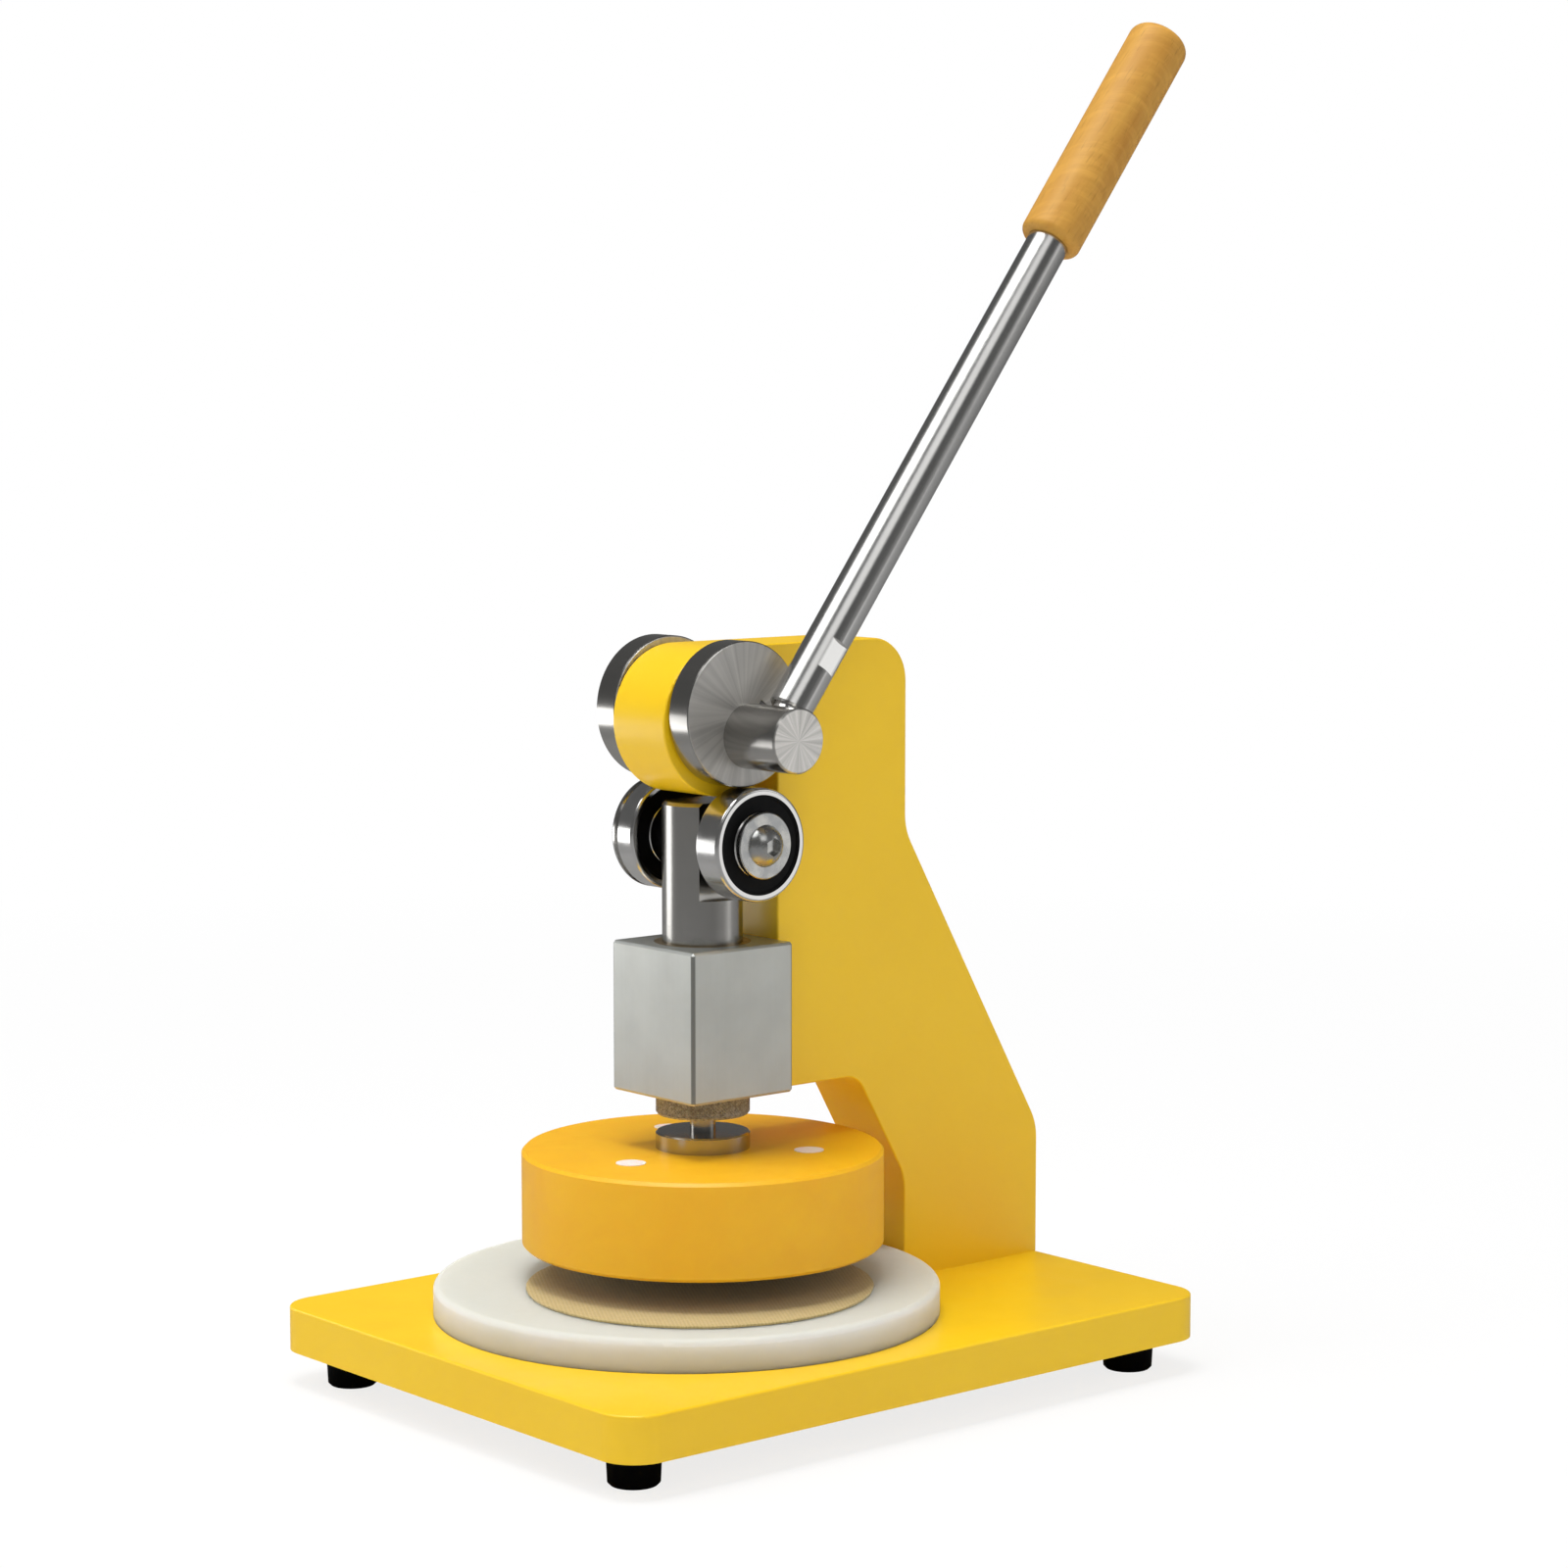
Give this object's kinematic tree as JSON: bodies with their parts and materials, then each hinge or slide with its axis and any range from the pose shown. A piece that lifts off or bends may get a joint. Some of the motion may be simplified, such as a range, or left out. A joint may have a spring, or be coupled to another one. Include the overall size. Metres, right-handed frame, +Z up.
{
  "type": "lever press",
  "caption": "Hand lever press for badges: a lever turns eccentric cams that push a roller-borne ram and a round press head down onto a nylon board.",
  "frame": {"origin": "on the press axis, where it meets the surface that the feet stand on", "axes": "+Z up along the ram, +Y to the back, +X to the side that the lever is on"},
  "size_m": [0.18, 0.2703, 0.4274],
  "materials": {
    "yellow_paint": "satin",
    "black_rubber": "matte",
    "seal_rubber": "matte",
    "zinc_screws": "satin",
    "bronze": "satin",
    "block_aluminium": "satin",
    "spring_steel": "satin",
    "white_nylon": "matte",
    "woven_mat": "matte",
    "turned_steel": "polished",
    "bearing_steel": "polished",
    "lever_chrome": "mirror",
    "grip_wood": "satin",
    "amber_head": "satin",
    "cap_plastic": "matte"
  },
  "bodies": {
    "frame": {"base_plate": "yellow_paint", "foot_front_right": "black_rubber", "foot_front_left": "black_rubber", "foot_rear_right": "black_rubber", "foot_rear_left": "black_rubber", "foot_screws": "zinc_screws", "column_plate": "yellow_paint", "column_screws": "zinc_screws", "axle_bush_right": "bronze", "axle_bush_left": "bronze", "guide_block": "block_aluminium", "guide_block_screws": "zinc_screws", "guide_bush_upper": "bronze", "guide_bush_lower": "bronze", "guide_dog_screw": "zinc_screws", "return_spring": "spring_steel", "press_board": "white_nylon", "board_screws": "zinc_screws", "press_mat": "woven_mat"},
    "cam_lever": {"cam_shaft": "turned_steel", "cam_keys": "spring_steel", "cam_disc_right": "turned_steel", "cam_disc_left": "turned_steel", "shaft_end_washer": "zinc_screws", "shaft_end_screw": "zinc_screws", "lever_rod": "lever_chrome", "handle_grip": "grip_wood"},
    "ram": {"ram": "turned_steel", "roller_screws": "zinc_screws", "roller_spacer_right": "spring_steel", "roller_spacer_left": "spring_steel", "roller_inner_ring_right": "bearing_steel", "roller_inner_ring_left": "bearing_steel", "roller_washer_right": "zinc_screws", "roller_washer_left": "zinc_screws", "nut_clip": "spring_steel"},
    "roller_right": {"roller_outer_ring_right": "bearing_steel", "roller_seals_right": "seal_rubber", "roller_needles_right": "bearing_steel"},
    "roller_left": {"roller_outer_ring_left": "bearing_steel", "roller_seals_left": "seal_rubber", "roller_needles_left": "bearing_steel"},
    "adjusting_nut": {"adjusting_nut": "turned_steel"},
    "press_head": {"head_flange": "turned_steel", "head_stud": "turned_steel", "press_head": "amber_head", "press_plate": "turned_steel", "head_screws": "zinc_screws", "head_screw_caps": "cap_plastic", "head_centre_screw": "zinc_screws"}
  },
  "joints": [
    {"name": "lever_turn", "type": "hinge", "parent": "frame", "child": "cam_lever", "pos_m": [0, 0, 0.2054], "axis": [1, 0, 0], "range_deg": [0, 103]},
    {"name": "ram_slide", "type": "slide", "parent": "frame", "child": "ram", "axis": [0, 0, -1], "range_m": [0, 0.00917], "stiffness_N_per_m": 4000, "springref_m": -0.01, "deforming": ["return_spring"]},
    {"name": "roller_right_turn", "type": "hinge", "parent": "ram", "child": "roller_right", "pos_m": [0.02075, 0.002, 0.17213], "axis": [1, 0, 0], "range_deg": [-130.96, 0]},
    {"name": "roller_left_turn", "type": "hinge", "parent": "ram", "child": "roller_left", "pos_m": [-0.02075, 0.002, 0.17213], "axis": [1, 0, 0], "range_deg": [-130.96, 0]},
    {"name": "nut_turn", "type": "hinge", "parent": "ram", "child": "adjusting_nut", "pos_m": [0, 0, 0.089], "axis": [0, 0, -1], "range_deg": [0, 720]},
    {"name": "head_height", "type": "slide", "parent": "ram", "child": "press_head", "axis": [0, 0, 1], "range_m": [0, 0.0025]}
  ],
  "couplings": [
    {"joint": "ram_slide", "follows": "lever_turn", "m_per_rad": 0.0051},
    {"joint": "roller_right_turn", "follows": "lever_turn", "ratio": -1.2714},
    {"joint": "roller_left_turn", "follows": "lever_turn", "ratio": -1.2714},
    {"joint": "nut_turn", "follows": "head_height", "rad_per_m": 5026.5}
  ]
}
